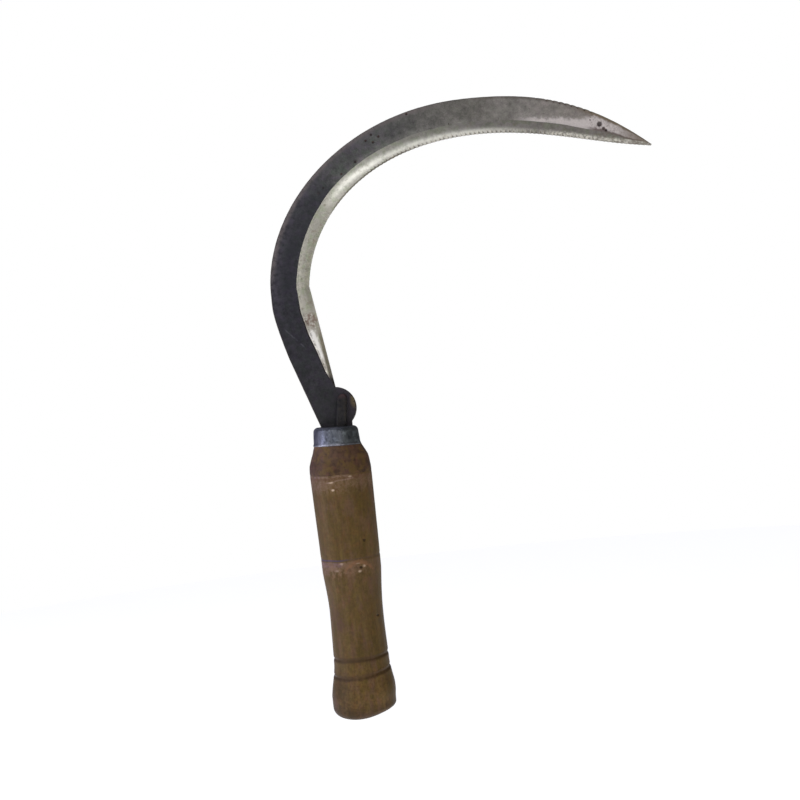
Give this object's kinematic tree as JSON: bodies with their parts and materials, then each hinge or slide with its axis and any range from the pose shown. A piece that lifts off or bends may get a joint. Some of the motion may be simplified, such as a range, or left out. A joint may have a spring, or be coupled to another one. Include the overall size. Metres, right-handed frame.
{
  "type": "hand sickle",
  "caption": "Hand sickle: a hooked, toothed steel blade lap-welded to a forged tang, with a metal ferrule and a turned wooden handle, for cutting grass and grain stalks.",
  "frame": {"origin": "middle of the wooden grip's length, on the handle's axis", "axes": "+Z along the handle's axis from the butt to the blade, +X towards the side that the hook opens to, -Y the way the blade's ground face looks"},
  "size_m": [0.1974, 0.0326, 0.2994],
  "materials": {
    "blade_steel": "dark oiled plate with a bright ground bevel on the front",
    "tang_steel": "forge scale with a heat tint at the weld",
    "ferrule_zinc": "dull mottled zinc plating",
    "handle_wood": "brown hardwood under thin clear lacquer"
  },
  "bodies": {
    "root": {"blade": "blade_steel", "tang": "tang_steel", "ferrule": "ferrule_zinc", "handle": "handle_wood"}
  },
  "joints": []
}
